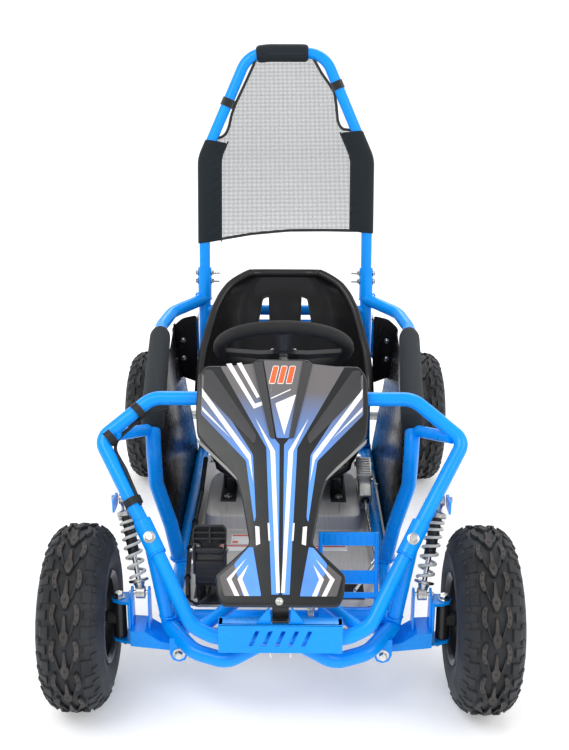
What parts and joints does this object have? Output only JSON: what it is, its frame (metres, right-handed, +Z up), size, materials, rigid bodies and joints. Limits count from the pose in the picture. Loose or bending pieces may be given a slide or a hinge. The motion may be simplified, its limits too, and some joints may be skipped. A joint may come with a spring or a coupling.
{
  "type": "off-road mini kart chassis",
  "caption": "Off-road mini kart rolling chassis: tube frame with roll hoop, bucket seat, nose panel, swing-arm front suspension, live rear axle and electric drive.",
  "frame": {"origin": "on the ground, on the centre plane, midway between the front and rear axles", "axes": "+Z up; the kart drives towards -Y; +X is the driver's left"},
  "size_m": [0.83, 1.33, 1.1077],
  "materials": {
    "blue_paint": "glossy powder coat",
    "black_metal": "satin black powder coat",
    "black_plastic": "moulded, fine grain",
    "gloss_black_plastic": "polished sheet",
    "padding": "black woven cover over foam, with a grey see-through net",
    "floor_sheet": "dull galvanised sheet",
    "cast_alloy": "as cast",
    "zinc_steel": "zinc plated",
    "chrome_plate": "polished",
    "spring_coating": "light grey enamel",
    "tyre_rubber": "moulded tread blocks",
    "cable_rubber": "smooth sheath"
  },
  "bodies": {
    "chassis": {"main_frame": "blue_paint", "front_hoop": "blue_paint", "roll_hoop": "blue_paint", "floor_pan": "floor_sheet", "nose_panel": "black_plastic", "nose_bracket": "black_metal", "seat_shell": "black_plastic", "seat_mount": "black_metal", "roll_net": "padding", "battery_box": "black_plastic", "controller": "cast_alloy", "motor": "black_metal", "chain": "zinc_steel", "brake_caliper": "cast_alloy", "master_cylinder": "cast_alloy", "brake_line": "zinc_steel", "throttle_base": "black_plastic", "wire_loom": "cable_rubber", "side_guard_left": "gloss_black_plastic", "side_pad_left": "padding", "bearing_carrier_left": "cast_alloy", "arm_pin_left": "zinc_steel", "side_guard_right": "gloss_black_plastic", "side_pad_right": "padding", "bearing_carrier_right": "cast_alloy", "arm_pin_right": "zinc_steel"},
    "steering": {"steering_wheel": "black_plastic", "steering_column": "zinc_steel"},
    "arm_left": {"arm_left": "blue_paint", "kingpin_left": "zinc_steel"},
    "knuckle_left": {"knuckle_left": "black_metal"},
    "wheel_front_left": {"rim_front_left": "black_metal", "tyre_front_left": "tyre_rubber"},
    "tie_stud_left": {"tie_stud_left": "zinc_steel"},
    "tie_rod_left": {"tie_rod_left": "chrome_plate"},
    "shock_body_left": {"shock_body_left": "black_metal", "spring_left": "spring_coating"},
    "shock_rod_left": {"shock_rod_left": "chrome_plate"},
    "arm_right": {"arm_right": "blue_paint", "kingpin_right": "zinc_steel"},
    "knuckle_right": {"knuckle_right": "black_metal"},
    "wheel_front_right": {"rim_front_right": "black_metal", "tyre_front_right": "tyre_rubber"},
    "tie_stud_right": {"tie_stud_right": "zinc_steel"},
    "tie_rod_right": {"tie_rod_right": "chrome_plate"},
    "shock_body_right": {"shock_body_right": "black_metal", "spring_right": "spring_coating"},
    "shock_rod_right": {"shock_rod_right": "chrome_plate"},
    "rear_axle": {"rear_axle": "zinc_steel", "axle_sprocket": "zinc_steel", "brake_disc": "zinc_steel", "rim_rear_left": "black_metal", "rim_rear_right": "black_metal", "tyre_rear_left": "tyre_rubber", "tyre_rear_right": "tyre_rubber"},
    "motor_pinion": {"motor_pinion": "zinc_steel"},
    "brake_pedal": {"brake_pedal": "blue_paint"},
    "brake_pushrod": {"brake_pushrod": "zinc_steel"},
    "throttle_pedal": {"throttle_pedal": "black_plastic"}
  },
  "joints": [
    {"name": "steer", "type": "hinge", "parent": "chassis", "child": "steering", "pos_m": [0, -0.1, 0.549], "axis": [0, 0.5878, 0.809], "range_deg": [-20, 20]},
    {"name": "susp_left", "type": "hinge", "parent": "chassis", "child": "arm_left", "pos_m": [0.178, -0.5, 0.122], "axis": [0, -1, 0], "range_deg": [0, 3.5], "stiffness_Nm_per_rad": 1200},
    {"name": "knuckle_turn_left", "type": "hinge", "parent": "arm_left", "child": "knuckle_left", "pos_m": [0.287, -0.5, 0.165], "axis": [0, 0, 1], "range_deg": [-14.2, 14.2]},
    {"name": "wheel_front_left_spin", "type": "hinge", "parent": "knuckle_left", "child": "wheel_front_left", "pos_m": [0.355, -0.5, 0.165], "axis": [1, 0, 0], "continuous": true},
    {"name": "tie_stud_turn_left", "type": "hinge", "parent": "knuckle_left", "child": "tie_stud_left", "pos_m": [0.284, -0.45, 0.086], "axis": [0, 0, 1], "range_deg": [-15.4, 15.4]},
    {"name": "tie_rod_tilt_left", "type": "hinge", "parent": "tie_stud_left", "child": "tie_rod_left", "pos_m": [0.284, -0.45, 0.086], "axis": [0, -1, 0], "range_deg": [-2.2, 0]},
    {"name": "shock_swing_left", "type": "hinge", "parent": "chassis", "child": "shock_body_left", "pos_m": [0.281, -0.43, 0.363], "axis": [-0.2572, 0.8953, -0.3637], "range_deg": [0, 2.4]},
    {"name": "shock_slide_left", "type": "slide", "parent": "shock_body_left", "child": "shock_rod_left", "axis": [0.1965, 0.4169, 0.8874], "range_m": [0, 0.0025], "deforming": ["spring_left"]},
    {"name": "susp_right", "type": "hinge", "parent": "chassis", "child": "arm_right", "pos_m": [-0.178, -0.5, 0.122], "axis": [0, 1, 0], "range_deg": [0, 3.5], "stiffness_Nm_per_rad": 1200},
    {"name": "knuckle_turn_right", "type": "hinge", "parent": "arm_right", "child": "knuckle_right", "pos_m": [-0.287, -0.5, 0.165], "axis": [0, 0, 1], "range_deg": [-14.2, 14.2]},
    {"name": "wheel_front_right_spin", "type": "hinge", "parent": "knuckle_right", "child": "wheel_front_right", "pos_m": [-0.355, -0.5, 0.165], "axis": [1, 0, 0], "continuous": true},
    {"name": "tie_stud_turn_right", "type": "hinge", "parent": "knuckle_right", "child": "tie_stud_right", "pos_m": [-0.284, -0.45, 0.086], "axis": [0, 0, 1], "range_deg": [-15.4, 15.4]},
    {"name": "tie_rod_tilt_right", "type": "hinge", "parent": "tie_stud_right", "child": "tie_rod_right", "pos_m": [-0.284, -0.45, 0.086], "axis": [0, 1, 0], "range_deg": [-2.2, 0]},
    {"name": "shock_swing_right", "type": "hinge", "parent": "chassis", "child": "shock_body_right", "pos_m": [-0.281, -0.43, 0.363], "axis": [-0.2572, -0.8953, 0.3637], "range_deg": [0, 2.4]},
    {"name": "shock_slide_right", "type": "slide", "parent": "shock_body_right", "child": "shock_rod_right", "axis": [-0.1965, 0.4169, 0.8874], "range_m": [0, 0.0025], "deforming": ["spring_right"]},
    {"name": "rear_axle_spin", "type": "hinge", "parent": "chassis", "child": "rear_axle", "pos_m": [0, 0.5, 0.165], "axis": [1, 0, 0], "continuous": true},
    {"name": "motor_pinion_spin", "type": "hinge", "parent": "chassis", "child": "motor_pinion", "pos_m": [0.045, 0.328, 0.23], "axis": [1, 0, 0], "continuous": true},
    {"name": "brake_pedal_press", "type": "hinge", "parent": "chassis", "child": "brake_pedal", "pos_m": [0.1196, -0.484, 0.158], "axis": [1, 0, 0], "range_deg": [0, 10], "stiffness_Nm_per_rad": 8},
    {"name": "brake_pushrod_slide", "type": "slide", "parent": "chassis", "child": "brake_pushrod", "axis": [0, -0.9511, -0.309], "range_m": [0, 0.0062]},
    {"name": "throttle_pedal_press", "type": "hinge", "parent": "chassis", "child": "throttle_pedal", "pos_m": [-0.13, -0.43, 0.26], "axis": [1, 0, 0], "range_deg": [0, 20], "stiffness_Nm_per_rad": 4}
  ],
  "couplings": [
    {"joint": "knuckle_turn_left", "follows": "steer", "ratio": 0.7},
    {"joint": "tie_stud_turn_left", "follows": "steer", "ratio": -0.76},
    {"joint": "tie_rod_tilt_left", "follows": "susp_left", "ratio": -0.6},
    {"joint": "shock_swing_left", "follows": "susp_left", "ratio": 0.655},
    {"joint": "shock_slide_left", "follows": "susp_left", "m_per_rad": 0.04},
    {"joint": "knuckle_turn_right", "follows": "steer", "ratio": 0.7},
    {"joint": "tie_stud_turn_right", "follows": "steer", "ratio": -0.76},
    {"joint": "tie_rod_tilt_right", "follows": "susp_right", "ratio": -0.6},
    {"joint": "shock_swing_right", "follows": "susp_right", "ratio": 0.655},
    {"joint": "shock_slide_right", "follows": "susp_right", "m_per_rad": 0.04},
    {"joint": "motor_pinion_spin", "follows": "rear_axle_spin", "ratio": 3.3333},
    {"joint": "brake_pushrod_slide", "follows": "brake_pedal_press", "m_per_rad": 0.034}
  ]
}
